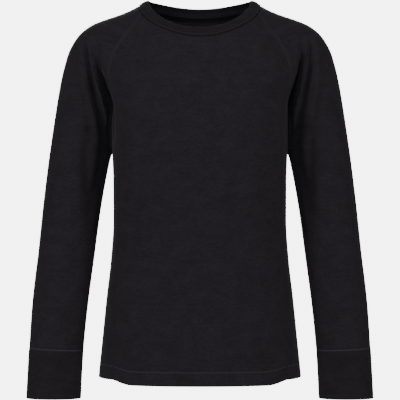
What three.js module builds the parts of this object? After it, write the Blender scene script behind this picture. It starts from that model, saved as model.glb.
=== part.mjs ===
// A child's long-sleeved base layer top with raglan sleeves, side panels, long cuffs and a crew neckband,
// in the hollow form that it takes when it is worn, with no wearer inside.
// Millimetres, +Z up. The front faces -Y and +X is the wearer's left.
// The origin lies on the centre line, level with the foot of the neckband at the side of the neck.

import * as THREE from 'three';

// Driving sizes

const CLOTH_WALL = 1.6;
const BAND_WALL = 2.6;
const HEM_EXTRA_WALL = 0.7;
const HEM_DEPTH = 20;
const HALF_SEAM_GAP = 0.16;
const BAND_SEAM_GAP = 0.34;
const HEM_HEIGHT = -571;
const HEM_DROP = 6.8;
const HEM_CORNER_LENGTH = 30;
const CUFF_SWELL = 0.7;

// Colours and finish of the cloth

const JERSEY = { name: 'jersey', color: 0x232124, roughness: 0.92, metalness: 0 };
const BAND_JERSEY = { name: 'double_jersey', color: 0x201e21, roughness: 0.94, metalness: 0 };

// The torso of the form the cloth lies on: half width, depth in front and behind, and how square the section is

const TORSO_SECTIONS = [
  { z: -620, half: 161, front: 90, back: 90, square: 2.3 },
  { z: -572, half: 156.8, front: 89, back: 88, square: 2.3 },
  { z: -515, half: 151, front: 88, back: 86, square: 2.3 },
  { z: -450, half: 144.4, front: 87, back: 82, square: 2.3 },
  { z: -390, half: 137.5, front: 87, back: 78, square: 2.3 },
  { z: -330, half: 133.7, front: 89, back: 77, square: 2.4 },
  { z: -270, half: 133.8, front: 93, back: 81, square: 2.7 },
  { z: -226, half: 135, front: 96, back: 87, square: 3 },
  { z: -180, half: 135.8, front: 98, back: 92, square: 3.1 },
  { z: -140, half: 141, front: 97, back: 94, square: 2.9 },
  { z: -105, half: 152, front: 93, back: 93, square: 2.6 },
  { z: -80, half: 151, front: 88, back: 91, square: 2.4 },
  { z: -54, half: 134, front: 80, back: 87, square: 2.3 },
  { z: -25, half: 107, front: 64, back: 78, square: 2.3 },
  { z: 0, half: 84, front: 52, back: 66, square: 2.2 },
  { z: 25, half: 66, front: 42, back: 54, square: 2.1 },
];

// Round stations down the arm: centre, radius across, and depth as a share of the radius

const ARM_STATIONS = [
  { x: 84, y: 6, z: -45, radius: 44, depth: 0.86 },
  { x: 132, y: 4, z: -66.5, radius: 49.1, depth: 0.96 },
  { x: 146.3, y: 4, z: -75.5, radius: 51.3, depth: 0.96 },
  { x: 153, y: 4, z: -84.5, radius: 51.4, depth: 0.94 },
  { x: 157.6, y: 5, z: -96.5, radius: 51.8, depth: 0.92 },
  { x: 168, y: 6, z: -137.5, radius: 51, depth: 0.86 },
  { x: 186.1, y: 6, z: -228.6, radius: 47, depth: 0.78 },
  { x: 197.9, y: 4, z: -305, radius: 44.7, depth: 0.75 },
  { x: 207, y: 1, z: -382, radius: 43.5, depth: 0.7 },
  { x: 216.3, y: -3, z: -458.4, radius: 42.9, depth: 0.65 },
  { x: 222.3, y: -7, z: -535, radius: 41.7, depth: 0.6 },
  { x: 226.1, y: -10, z: -612, radius: 41.8, depth: 0.56 },
];
const ARM_STEPS_BETWEEN = 5;

// How softly arm and torso run into each other, over the shoulder and in the armpit

const SHOULDER_BLEND = 26;
const ARMPIT_BLEND = 8;
const BLEND_TOP = -110;
const BLEND_BOTTOM = -190;

// Sections of the sleeve and the cuff, each from its outer edge to its inner edge as seen from the front

const SLEEVE_SECTIONS = [
  { outX: 192, outZ: -52, inX: 138.2, inZ: -236.5 },
  { outX: 204, outZ: -76, inX: 138.8, inZ: -238.5 },
  { outX: 211.5, outZ: -108, inX: 139.6, inZ: -242 },
  { outX: 217.5, outZ: -142, inX: 140.8, inZ: -247.5 },
  { outX: 223.5, outZ: -178, inX: 142.6, inZ: -255 },
  { outX: 229, outZ: -214, inX: 145.8, inZ: -267.5 },
  { outX: 234, outZ: -250, inX: 150, inZ: -286 },
  { outX: 239.5, outZ: -292, inX: 155, inZ: -315 },
  { outX: 245.5, outZ: -342, inX: 160.7, inZ: -356 },
  { outX: 251.5, outZ: -396, inX: 167.6, inZ: -406 },
  { outX: 257.4, outZ: -452, inX: 174.3, inZ: -458 },
  { outX: 261.6, outZ: -500, inX: 178.6, inZ: -504.5 },
  { outX: 264.4, outZ: -527.7, inX: 180.8, inZ: -531.1 },
];
const CUFF_SECTIONS = [
  { outX: 264.4, outZ: -527.7, inX: 180.8, inZ: -531.1 },
  { outX: 265.3, outZ: -545, inX: 181.7, inZ: -547.3 },
  { outX: 266.8, outZ: -573, inX: 183.2, inZ: -574.2 },
  { outX: 268.3, outZ: -604, inX: 185, inZ: -604 },
];
const ROWS_FROM_ARMHOLE = 5;

// Seam lines as seen from the front or the back, for the wearer's left half

const SIDE_SEAM = [
  { z: -571, x: 132.5 },
  { z: -450, x: 129 },
  { z: -330, x: 124.5 },
  { z: -226, x: 123.5 },
  { z: -165, x: 124.2 },
  { z: -147, x: 127 },
  { z: -135, x: 131.3 },
  { z: -126, x: 136.5 },
];
const RAGLAN_FRONT = [
  { x: 136.5, z: -126 },
  { x: 139, z: -108 },
  { x: 136.4, z: -91.3 },
  { x: 129.6, z: -72.5 },
  { x: 120.1, z: -57.2 },
  { x: 106.7, z: -39 },
];
const RAGLAN_BACK = [
  { x: 136.5, z: -126 },
  { x: 138, z: -108 },
  { x: 133.5, z: -90 },
  { x: 124, z: -71 },
  { x: 111, z: -52 },
  { x: 96, z: -34 },
];
const UNDERARM_FROM_SEAM = [
  { x: 136.5, z: -126 },
  { x: 136.8, z: -150 },
  { x: 136.6, z: -175 },
  { x: 136.2, z: -198 },
  { x: 135.9, z: -215 },
];

// The neck opening: the foot of the neckband, and its top edge

const NECK_FOOT = { half: 94, front: -78, back: 77, frontZ: -54, sideZ: -1, backZ: -9.5 };
const NECK_TOP = { half: 80.5, front: -72, back: 69, frontZ: -39.4, sideZ: 9.8, backZ: 3.5 };
const NECK_FRONT_CURVE = 1.2;
const NECK_BACK_CURVE = 3.6;
const RAGLAN_FRONT_TURN = 70;
const RAGLAN_BACK_TURN = 124;
const BAND_SWELL = 1.3;

// Folds of the cloth as seen from the front or the back, for the wearer's left half.
// A positive height is a ridge and a negative one a trough.

const FOLDS = [
  { side: 'front', height: -8, width: 9, line: [[161, -90], [151.5, -116], [143.5, -138], [137.5, -161], [135.5, -195]] },
  { side: 'front', height: 4, width: 8, line: [[167, -70], [162, -99], [153, -126], [144, -152], [140.5, -173]] },
  { side: 'front', height: -4.5, width: 9, line: [[171, -72], [165.5, -108], [158, -144], [149, -190]] },
  { side: 'front', height: 3, width: 9, line: [[182, -84], [179, -124], [171, -162], [161.5, -204]] },
  { side: 'back', height: -7, width: 11, line: [[166, -82], [155, -106], [145, -128], [139, -152], [136.5, -186]] },
  { side: 'back', height: 3.5, width: 9, line: [[175, -80], [167, -110], [157, -140], [149, -172]] },
];

// How finely each piece is divided

const SIDE_ROWS = 16;
const RAGLAN_ROWS = 10;
const PANEL_COLUMNS = 16;
const UNDERARM_COLUMNS = 16;
const SHOULDER_COLUMNS = 4;
const BAND_ROWS = 3;
const SEAM_CROWDING = 0.4;
const TABLE_STEPS = 40;
const UNDERARM_STEPS = 12;
const SECTION_RAYS = 48;
const REACH = 160;
const SETTLE_STEPS = 12;
const LONGEST_STEP = 12;
const HALVINGS = 26;

const FRONT = -1;
const BACK = 1;

// Smooth curves through short tables

function catmull(a, b, c, d, t) {
  const linear = c - a;
  const square = 2 * a - 5 * b + 4 * c - d;
  const cube = 3 * b - a - 3 * c + d;
  return b + 0.5 * t * (linear + t * (square + t * cube));
}

function rowAt(rows, position) {
  const last = rows.length - 1;
  const place = Math.min(Math.max(position, 0), last);
  const first = Math.min(Math.floor(place), last - 1);
  const pick = (offset) => rows[Math.min(Math.max(first + offset, 0), last)];
  const result = {};
  for (const key of Object.keys(rows[0])) {
    result[key] = catmull(pick(-1)[key], pick(0)[key], pick(1)[key], pick(2)[key], place - first);
  }
  return result;
}

// A value that changes with height, smooth and with no overshoot between the rows of a table sorted by z
function heightCurve(rows, key) {
  const slopes = rows.map((row, i) => {
    if (i === 0 || i === rows.length - 1) return 0;
    const below = (row[key] - rows[i - 1][key]) / (row.z - rows[i - 1].z);
    const above = (rows[i + 1][key] - row[key]) / (rows[i + 1].z - row.z);
    return below * above <= 0 ? 0 : (2 * below * above) / (below + above);
  });
  return (z) => {
    const top = rows.length - 1;
    if (z <= rows[0].z) return rows[0][key];
    if (z >= rows[top].z) return rows[top][key];
    let i = 0;
    while (z > rows[i + 1].z) i += 1;
    const span = rows[i + 1].z - rows[i].z;
    const t = (z - rows[i].z) / span;
    const fromLow = (1 + 2 * t) * (1 - t) * (1 - t) * rows[i][key] + t * (1 - t) * (1 - t) * span * slopes[i];
    const fromHigh = t * t * (3 - 2 * t) * rows[i + 1][key] + t * t * (t - 1) * span * slopes[i + 1];
    return fromLow + fromHigh;
  };
}

function smoothStep(low, high, value) {
  const t = Math.min(Math.max((value - low) / (high - low), 0), 1);
  return t * t * (3 - 2 * t);
}

// The form under the cloth, as a field that is zero on its surface and negative inside

const torsoHalf = heightCurve(TORSO_SECTIONS, 'half');
const torsoFront = heightCurve(TORSO_SECTIONS, 'front');
const torsoBack = heightCurve(TORSO_SECTIONS, 'back');
const torsoSquare = heightCurve(TORSO_SECTIONS, 'square');

function torsoField(p) {
  const half = torsoHalf(p.z);
  const depth = p.y < 0 ? torsoFront(p.z) : torsoBack(p.z);
  const power = torsoSquare(p.z);
  const across = Math.pow(Math.abs(p.x) / half, power);
  const through = Math.pow(Math.abs(p.y) / depth, power);
  return (Math.pow(across + through, 1 / power) - 1) * Math.sqrt(half * depth);
}

const ARM_CHAIN = [];
for (let i = 0; i <= (ARM_STATIONS.length - 1) * ARM_STEPS_BETWEEN; i += 1) {
  ARM_CHAIN.push(rowAt(ARM_STATIONS, i / ARM_STEPS_BETWEEN));
}

function armField(p) {
  const x = Math.abs(p.x);
  let nearest = Infinity;
  for (let i = 0; i < ARM_CHAIN.length - 1; i += 1) {
    const a = ARM_CHAIN[i];
    const b = ARM_CHAIN[i + 1];
    const runX = b.x - a.x;
    const runZ = b.z - a.z;
    const along = ((x - a.x) * runX + (p.z - a.z) * runZ) / (runX * runX + runZ * runZ);
    const t = Math.min(Math.max(along, 0), 1);
    const offX = x - a.x - t * runX;
    const offZ = p.z - a.z - t * runZ;
    const offY = (p.y - a.y - t * (b.y - a.y)) / (a.depth + t * (b.depth - a.depth));
    const distance = Math.sqrt(offX * offX + offY * offY + offZ * offZ) - a.radius - t * (b.radius - a.radius);
    nearest = Math.min(nearest, distance);
  }
  return nearest;
}

function wornField(p) {
  const torso = torsoField(p);
  const arm = armField(p);
  const blend = ARMPIT_BLEND + (SHOULDER_BLEND - ARMPIT_BLEND) * smoothStep(BLEND_BOTTOM, BLEND_TOP, p.z);
  const near = Math.max(blend - Math.abs(torso - arm), 0) / blend;
  return Math.min(torso, arm) - (near * near * blend) / 4;
}

function fieldSlope(field, p, axes = ['x', 'y', 'z']) {
  const step = 0.05;
  const slope = new THREE.Vector3();
  for (const axis of axes) {
    const ahead = p.clone();
    const behind = p.clone();
    ahead[axis] += step;
    behind[axis] -= step;
    slope[axis] = (field(ahead) - field(behind)) / (2 * step);
  }
  return slope;
}

// Moves a point straight onto the form, or along the given axes only
function settle(p, field = wornField, axes = undefined) {
  const point = p.clone();
  for (let i = 0; i < SETTLE_STEPS; i += 1) {
    const slope = fieldSlope(field, point, axes);
    const step = field(point) / Math.max(slope.lengthSq(), 0.05);
    point.addScaledVector(slope, -Math.min(Math.max(step, -LONGEST_STEP), LONGEST_STEP));
  }
  return point;
}

// The form's surface at a place seen from the front or the back
function faceOn(x, z, side) {
  let outside = REACH * side;
  let inside = outside;
  while (inside * side > -20) {
    if (wornField({ x, y: inside, z }) < 0) break;
    outside = inside;
    inside -= 2 * side;
  }
  for (let i = 0; i < HALVINGS; i += 1) {
    const middle = (outside + inside) / 2;
    if (wornField({ x, y: middle, z }) < 0) inside = middle;
    else outside = middle;
  }
  return new THREE.Vector3(x, (outside + inside) / 2, z);
}

// Folds

function placeOnLine(x, z, line) {
  let nearest = { distance: Infinity, along: 0 };
  for (let i = 0; i < line.length - 1; i += 1) {
    const [ax, az] = line[i];
    const [bx, bz] = line[i + 1];
    const run = (bx - ax) ** 2 + (bz - az) ** 2;
    const t = Math.min(Math.max(((x - ax) * (bx - ax) + (z - az) * (bz - az)) / run, 0), 1);
    const distance = Math.hypot(x - ax - t * (bx - ax), z - az - t * (bz - az));
    if (distance < nearest.distance) nearest = { distance, along: (i + t) / (line.length - 1) };
  }
  return nearest;
}

function foldHeight(p, normal) {
  let height = 0;
  for (const fold of FOLDS) {
    const facing = fold.side === 'front' ? -normal.y : normal.y;
    const { distance, along } = placeOnLine(Math.abs(p.x), p.z, fold.line);
    const across = Math.exp(-2 * (distance / fold.width) ** 2);
    const ends = Math.sqrt(Math.max(Math.sin(Math.PI * along), 0));
    height += fold.height * across * ends * smoothStep(0.05, 0.45, facing);
  }
  return height;
}

// One point of the cloth: its outer place and the direction out through the wall
function clothPoint(p, swell) {
  const normal = fieldSlope(wornField, p).normalize();
  const outer = p.clone().addScaledVector(normal, foldHeight(p, normal) + swell);
  return { outer, normal };
}

// Seam curves as points on the form, shared by the pieces on both sides

// Points at even or given shares of the length of a fine polyline
function evenly(fine, count, shares = Array.from({ length: count + 1 }, (_, k) => k / count)) {
  const lengths = [0];
  for (let i = 1; i < fine.length; i += 1) lengths.push(lengths[i - 1] + fine[i].distanceTo(fine[i - 1]));
  return shares.map((share) => {
    const wanted = lengths[lengths.length - 1] * share;
    let i = 0;
    while (i < lengths.length - 2 && lengths[i + 1] < wanted) i += 1;
    const t = (wanted - lengths[i]) / (lengths[i + 1] - lengths[i]);
    return fine[i].clone().lerp(fine[i + 1], t);
  });
}

// Places along a table's curve, closer together towards its end where crowding is above zero
function alongTable(rows, count, crowding = 0) {
  const fine = [];
  const steps = TABLE_STEPS * (rows.length - 1);
  for (let i = 0; i <= steps; i += 1) fine.push(rowAt(rows, (i * (rows.length - 1)) / steps));
  const shares = Array.from({ length: count + 1 }, (_, k) => k / count + crowding * (k / count) * (1 - k / count));
  return evenly(fine.map(({ x, z }) => new THREE.Vector3(x, 0, z)), count, shares);
}

function neckPlace(ring, degrees) {
  const turn = THREE.MathUtils.degToRad(degrees);
  const forward = Math.max(Math.cos(turn), 0);
  const backward = Math.max(-Math.cos(turn), 0);
  return new THREE.Vector3(
    ring.half * Math.sin(turn),
    ring.front * forward + ring.back * backward,
    ring.sideZ
      + (ring.frontZ - ring.sideZ) * forward ** NECK_FRONT_CURVE
      + (ring.backZ - ring.sideZ) * backward ** NECK_BACK_CURVE,
  );
}

// The foot of the neckband between two turns round the neck, in degrees from the front centre
function neckFoot(from, to, count) {
  return Array.from({ length: count + 1 }, (_, i) => settle(neckPlace(NECK_FOOT, from + ((to - from) * i) / count)));
}

function raglan(table, side, neckPoint) {
  const places = alongTable([...table, { x: neckPoint.x, z: neckPoint.z }], RAGLAN_ROWS);
  const points = places.map(({ x, z }) => faceOn(x, z, side));
  points[RAGLAN_ROWS] = neckPoint;
  return points;
}

function sideSeam(side, top) {
  const points = alongTable(SIDE_SEAM, SIDE_ROWS, SEAM_CROWDING).map(({ x, z }) => faceOn(x, z, side));
  points[SIDE_ROWS] = top;
  return points;
}

// The lowest point of the armhole, on the bridge between torso and sleeve
function underarmPoint() {
  let open = -260;
  let closed = -170;
  let x = 0;
  for (let i = 0; i < HALVINGS; i += 1) {
    const z = (open + closed) / 2;
    let highest = -Infinity;
    for (let across = 132; across <= 142; across += 0.1) {
      const field = wornField({ x: across, y: 5, z });
      if (field > highest) {
        highest = field;
        x = across;
      }
    }
    if (highest > 0) open = z;
    else closed = z;
  }
  return new THREE.Vector3(x, 5, closed);
}

// The lower armhole on one side, from the top of the side seam down to the underarm point
function lowerArmhole(side, top, underarm) {
  const fine = [];
  const last = UNDERARM_FROM_SEAM.length - 1;
  for (let i = 0; i <= TABLE_STEPS; i += 1) {
    const { x, z } = rowAt(UNDERARM_FROM_SEAM, (i / TABLE_STEPS) * last);
    fine.push(faceOn(x, z, side));
  }
  const from = fine[fine.length - 1];
  for (let i = 1; i <= UNDERARM_STEPS; i += 1) {
    const turn = (i / UNDERARM_STEPS) * (Math.PI / 2);
    const point = new THREE.Vector3(
      from.x + (underarm.x - from.x) * Math.sin(turn),
      underarm.y + (from.y - underarm.y) * Math.cos(turn),
      from.z + (underarm.z - from.z) * Math.sin(turn),
    );
    fine.push(i === UNDERARM_STEPS ? underarm : settle(point));
  }
  fine[0] = top;
  return evenly(fine, UNDERARM_COLUMNS / 2);
}

const flip = (p) => new THREE.Vector3(-p.x, p.y, p.z);

const underarm = underarmPoint();
const frontNeck = neckFoot(-RAGLAN_FRONT_TURN, RAGLAN_FRONT_TURN, PANEL_COLUMNS);
const backNeck = neckFoot(360 - RAGLAN_BACK_TURN, RAGLAN_BACK_TURN, PANEL_COLUMNS);
const shoulderNeck = neckFoot(RAGLAN_FRONT_TURN, RAGLAN_BACK_TURN, SHOULDER_COLUMNS);
const raglanFront = raglan(RAGLAN_FRONT, FRONT, shoulderNeck[0]);
const raglanBack = raglan(RAGLAN_BACK, BACK, shoulderNeck[SHOULDER_COLUMNS]);
const sideSeamFront = sideSeam(FRONT, raglanFront[0]);
const sideSeamBack = sideSeam(BACK, raglanBack[0]);
const armholeFront = lowerArmhole(FRONT, raglanFront[0], underarm);
const armholeBack = lowerArmhole(BACK, raglanBack[0], underarm);

// Hem line: the side panels' hem is level, and the front's and the back's curve down beside it
function hemHeight(x) {
  const share = Math.min(Math.max((SIDE_SEAM[0].x - Math.abs(x)) / HEM_CORNER_LENGTH, 0), 1);
  return HEM_HEIGHT - HEM_DROP * Math.sin((share * Math.PI) / 2) ** 1.2;
}

// Grids of points on the form. A grid is a list of rows, and each row runs across its piece.

function fillPatch(bottom, top, left, right, place) {
  const rows = left.length - 1;
  const columns = bottom.length - 1;
  return left.map((_, r) => bottom.map((__, c) => {
    if (r === 0) return bottom[c];
    if (r === rows) return top[c];
    if (c === 0) return left[r];
    if (c === columns) return right[r];
    const u = c / columns;
    const v = r / rows;
    const sum = new THREE.Vector3()
      .addScaledVector(bottom[c], 1 - v).addScaledVector(top[c], v)
      .addScaledVector(left[r], 1 - u).addScaledVector(right[r], u)
      .addScaledVector(bottom[0], -(1 - u) * (1 - v)).addScaledVector(bottom[columns], -u * (1 - v))
      .addScaledVector(top[0], -(1 - u) * v).addScaledVector(top[columns], -u * v);
    return place(sum);
  }));
}

function bodyPanel(side, seam, raglanSeam, neck) {
  const right = [...seam, ...raglanSeam.slice(1)];
  const left = right.map(flip);
  const bottom = neck.map((_, c) => {
    const x = seam[0].x * ((2 * c) / PANEL_COLUMNS - 1);
    return faceOn(x, hemHeight(x), side);
  });
  return fillPatch(bottom, neck, left, right, (p) => faceOn(p.x, p.z, side));
}

function sidePanel() {
  const top = [...armholeFront, ...armholeBack.slice(0, -1).reverse()];
  const from = Math.atan2(sideSeamFront[0].y, sideSeamFront[0].x);
  const to = Math.atan2(sideSeamBack[0].y, sideSeamBack[0].x);
  const bottom = top.map((_, c) => {
    if (c === 0) return sideSeamFront[0];
    if (c === UNDERARM_COLUMNS) return sideSeamBack[0];
    const turn = from + ((to - from) * c) / UNDERARM_COLUMNS;
    const ring = new THREE.Vector3(REACH * Math.cos(turn), REACH * Math.sin(turn), HEM_HEIGHT);
    return settle(ring, torsoField, ['x', 'y']);
  });
  const place = (p) => settle(settle(p, torsoField, ['x', 'y']));
  return fillPatch(bottom, top, sideSeamFront, sideSeamBack, place);
}

// Half of a section through the sleeve, from its outer edge round the front or the back to its inner edge
function halfSection(section, side, shares) {
  const middle = new THREE.Vector3((section.outX + section.inX) / 2, 0, (section.outZ + section.inZ) / 2);
  middle.y = (ARM_CHAIN.find((station) => station.z < middle.z) ?? ARM_CHAIN[ARM_CHAIN.length - 1]).y;
  const outward = new THREE.Vector3(section.outX - section.inX, 0, section.outZ - section.inZ).normalize();
  const fine = [];
  for (let i = 0; i <= SECTION_RAYS; i += 1) {
    const turn = (i / SECTION_RAYS) * Math.PI;
    const ray = outward.clone().multiplyScalar(Math.cos(turn));
    ray.y = side * Math.sin(turn);
    let inside = 0;
    let outside = REACH;
    for (let k = 0; k < HALVINGS; k += 1) {
      const reach = (inside + outside) / 2;
      if (armField(middle.clone().addScaledVector(ray, reach)) < 0) inside = reach;
      else outside = reach;
    }
    fine.push(settle(middle.clone().addScaledVector(ray, inside)));
  }
  return evenly(fine, shares.length - 1, shares);
}

function lengthShares(points) {
  const lengths = [0];
  for (let i = 1; i < points.length; i += 1) lengths.push(lengths[i - 1] + points[i].distanceTo(points[i - 1]));
  return lengths.map((length) => length / lengths[lengths.length - 1]);
}

function closedRow(frontHalf, backHalf) {
  return [...frontHalf, ...backHalf.slice(1, -1).reverse()];
}

const neckHalf = SHOULDER_COLUMNS / 2;
const ARMHOLE_HALVES = [
  { side: FRONT, neck: shoulderNeck.slice(0, neckHalf + 1).reverse(), seam: raglanFront, lower: armholeFront },
  { side: BACK, neck: shoulderNeck.slice(neckHalf), seam: raglanBack, lower: armholeBack },
].map(({ side, neck, seam, lower }) => ({ side, points: [...neck, ...seam.slice(0, -1).reverse(), ...lower.slice(1)] }));

function sleeveRow(section, evenness) {
  return closedRow(...ARMHOLE_HALVES.map(({ side, points }) => {
    const cut = lengthShares(points);
    const shares = cut.map((share, i) => share + (i / (cut.length - 1) - share) * evenness);
    return halfSection(section, side, shares);
  }));
}

function sleeveGrid() {
  const armhole = closedRow(...ARMHOLE_HALVES.map(({ points }) => points));
  const rows = SLEEVE_SECTIONS.map((section, i) => sleeveRow(section, smoothStep(-1, 5, i)));
  const grid = [armhole];
  for (let i = 1; i < ROWS_FROM_ARMHOLE; i += 1) {
    grid.push(armhole.map((p, c) => settle(p.clone().lerp(rows[0][c], i / ROWS_FROM_ARMHOLE))));
  }
  return [...grid, ...rows];
}

// The neckband, from its foot on the panels to its top edge
function neckbandGrid() {
  const stretches = [
    [-RAGLAN_FRONT_TURN, RAGLAN_FRONT_TURN, PANEL_COLUMNS],
    [RAGLAN_FRONT_TURN, RAGLAN_BACK_TURN, SHOULDER_COLUMNS],
    [RAGLAN_BACK_TURN, 360 - RAGLAN_BACK_TURN, PANEL_COLUMNS],
    [360 - RAGLAN_BACK_TURN, 360 - RAGLAN_FRONT_TURN, SHOULDER_COLUMNS],
  ];
  const turns = stretches.flatMap(([from, to, count]) => (
    Array.from({ length: count }, (_, i) => from + ((to - from) * i) / count)
  ));
  return Array.from({ length: BAND_ROWS + 1 }, (_, r) => turns.map((turn) => {
    const share = r / BAND_ROWS;
    const foot = settle(neckPlace(NECK_FOOT, turn));
    const top = neckPlace(NECK_TOP, turn);
    const along = neckPlace(NECK_FOOT, turn + 1).sub(neckPlace(NECK_FOOT, turn - 1));
    const normal = new THREE.Vector3().crossVectors(along, top.clone().sub(foot)).normalize();
    const outer = foot.clone().lerp(top, share).addScaledVector(normal, BAND_SWELL * Math.sin(Math.PI * share));
    return { outer, normal };
  }));
}

// Solids

function clothGrid(grid, swell = 0) {
  return grid.map((row) => row.map((p) => clothPoint(p, swell)));
}

// Draws the edge of a piece back from its seam, within the cloth's surface
function drawBack(grid, loop, amount) {
  const inward = loop.map(([r, c], i) => {
    const here = grid[r][c];
    const [nextRow, nextColumn] = loop[(i + 1) % loop.length];
    const run = grid[nextRow][nextColumn].outer.clone().sub(here.outer);
    return new THREE.Vector3().crossVectors(here.normal, run).normalize();
  });
  const moves = inward.map((after, i) => {
    const before = inward[(i + loop.length - 1) % loop.length];
    return before.clone().add(after).multiplyScalar(amount / Math.max(1 + before.dot(after), 0.12));
  });
  loop.forEach(([r, c], i) => {
    const { outer, normal } = grid[r][c];
    grid[r][c] = { outer: outer.clone().add(moves[i]), normal };
  });
}

// The edge loops of a grid, each with the piece on its left as seen from outside
function edgeLoops(rows, columns, closed) {
  const across = Array.from({ length: columns }, (_, c) => c);
  if (closed) return [across.map((c) => [0, c]), across.map((c) => [rows - 1, columns - 1 - c])];
  const up = Array.from({ length: rows }, (_, r) => r);
  return [[
    ...across.slice(0, -1).map((c) => [0, c]),
    ...up.slice(0, -1).map((r) => [r, columns - 1]),
    ...across.slice(1).reverse().map((c) => [rows - 1, c]),
    ...up.slice(1).reverse().map((r) => [r, 0]),
  ]];
}

// A wall of cloth from a grid of cloth points. A closed grid runs round a tube, and a turned one
// has its rows running the other way as seen from outside.
function wall(source, thickness, { closed = false, turned = false, gap = HALF_SEAM_GAP } = {}) {
  const grid = source.map((row) => [...row]);
  const rows = grid.length;
  const columns = grid[0].length;
  for (const loop of edgeLoops(rows, columns, closed)) {
    drawBack(grid, turned ? loop.reverse() : loop, gap);
  }
  const positions = [];
  for (const shell of [0, 1]) {
    for (const { outer, normal } of grid.flat()) {
      const p = outer.clone().addScaledVector(normal, -shell * thickness(outer));
      positions.push(p.x, p.y, p.z);
    }
  }
  const faces = [];
  const place = (i) => new THREE.Vector3().fromArray(positions, 3 * i);
  const quad = (...corners) => {
    const [a, b, c, d] = turned ? corners.reverse() : corners;
    const splitAtFirst = place(a).distanceTo(place(c)) <= place(b).distanceTo(place(d));
    faces.push(...(splitAtFirst ? [a, b, c, a, c, d] : [b, c, d, b, d, a]));
  };
  const at = (r, c, shell) => (shell * rows + r) * columns + (c % columns);
  const lastColumn = closed ? columns : columns - 1;
  for (let r = 0; r < rows - 1; r += 1) {
    for (let c = 0; c < lastColumn; c += 1) {
      quad(at(r, c, 0), at(r, c + 1, 0), at(r + 1, c + 1, 0), at(r + 1, c, 0));
      quad(at(r, c, 1), at(r + 1, c, 1), at(r + 1, c + 1, 1), at(r, c + 1, 1));
    }
  }
  for (let c = 0; c < lastColumn; c += 1) {
    quad(at(0, c, 1), at(0, c + 1, 1), at(0, c + 1, 0), at(0, c, 0));
    quad(at(rows - 1, c, 0), at(rows - 1, c + 1, 0), at(rows - 1, c + 1, 1), at(rows - 1, c, 1));
  }
  for (let r = 0; r < rows - 1 && !closed; r += 1) {
    quad(at(r, 0, 0), at(r + 1, 0, 0), at(r + 1, 0, 1), at(r, 0, 1));
    quad(at(r, columns - 1, 1), at(r + 1, columns - 1, 1), at(r + 1, columns - 1, 0), at(r, columns - 1, 0));
  }
  const geometry = new THREE.BufferGeometry();
  geometry.setAttribute('position', new THREE.Float32BufferAttribute(positions, 3));
  geometry.setIndex(faces);
  return geometry;
}

function otherSide(geometry) {
  const copy = geometry.clone().scale(-1, 1, 1);
  const index = copy.getIndex();
  for (let i = 0; i < index.count; i += 3) {
    const second = index.getX(i + 1);
    index.setX(i + 1, index.getX(i + 2));
    index.setX(i + 2, second);
  }
  return copy;
}

const bodyThickness = (p) => CLOTH_WALL + (p.z < HEM_HEIGHT + HEM_DEPTH ? HEM_EXTRA_WALL : 0);
const sleeveThickness = () => CLOTH_WALL;
const bandThickness = () => BAND_WALL;

const frontGrid = clothGrid(bodyPanel(FRONT, sideSeamFront, raglanFront, frontNeck));
const backGrid = clothGrid(bodyPanel(BACK, sideSeamBack, raglanBack, backNeck));
const cuffGrid = clothGrid(CUFF_SECTIONS.map((section) => sleeveRow(section, 1)), CUFF_SWELL);

const shapes = {
  front: { shape: wall(frontGrid, bodyThickness), finish: JERSEY },
  back: { shape: wall(backGrid, bodyThickness, { turned: true }), finish: JERSEY },
  side_panel_left: { shape: wall(clothGrid(sidePanel()), bodyThickness), finish: JERSEY },
  sleeve_left: { shape: wall(clothGrid(sleeveGrid()), sleeveThickness, { closed: true }), finish: JERSEY },
  cuff_left: { shape: wall(cuffGrid, bandThickness, { closed: true }), finish: BAND_JERSEY },
  collar: { shape: wall(neckbandGrid(), bandThickness, { closed: true, gap: BAND_SEAM_GAP }), finish: BAND_JERSEY },
};
for (const piece of ['side_panel', 'sleeve', 'cuff']) {
  const { shape, finish } = shapes[`${piece}_left`];
  shapes[`${piece}_right`] = { shape: otherSide(shape), finish };
}

const garment = new THREE.Group();
for (const [name, { shape, finish }] of Object.entries(shapes)) {
  const mesh = new THREE.Mesh(shape, new THREE.MeshStandardMaterial(finish));
  mesh.name = name;
  garment.add(mesh);
}

export default garment;
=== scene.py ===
import math

import bpy
import numpy as np
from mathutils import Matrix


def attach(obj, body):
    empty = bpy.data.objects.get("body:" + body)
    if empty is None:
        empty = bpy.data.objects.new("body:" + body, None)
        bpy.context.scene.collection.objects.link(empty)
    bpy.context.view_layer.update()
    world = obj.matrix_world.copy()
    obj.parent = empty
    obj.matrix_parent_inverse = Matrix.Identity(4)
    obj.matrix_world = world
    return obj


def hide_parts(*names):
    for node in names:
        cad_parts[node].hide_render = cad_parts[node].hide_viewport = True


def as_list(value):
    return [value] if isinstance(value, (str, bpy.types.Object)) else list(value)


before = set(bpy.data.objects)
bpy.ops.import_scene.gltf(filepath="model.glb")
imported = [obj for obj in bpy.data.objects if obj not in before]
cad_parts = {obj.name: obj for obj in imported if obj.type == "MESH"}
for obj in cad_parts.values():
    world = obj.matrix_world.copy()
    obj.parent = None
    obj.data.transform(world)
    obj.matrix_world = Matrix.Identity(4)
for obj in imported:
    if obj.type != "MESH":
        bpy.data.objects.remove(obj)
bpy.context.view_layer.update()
bpy.ops.object.select_all(action="DESELECT")

# The base layer top is sewn from a front, a back, two side panels, two raglan sleeves, two long cuffs
# and a neckband. It is worn here with no wearer inside. Lengths are in millimetres until a mesh is made.

MM = 0.001

# Thickness of the cloth, and the finished hem

JERSEY_WALL = 1.1
DOUBLE_WALL = 2.3
HEM_WALL = 2.1
HEM_DEPTH = 20.0
HEM_HEIGHT = -571.0
HEM_DROP = 6.8
HEM_CORNER = 30.0
SEAM_GAP = 0.15
NECK_GAP = 0.6
CUFF_SWELL = 0.6
CUFF_DIP = 0.5
CUFF_DIP_REACH = 2.0

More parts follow.
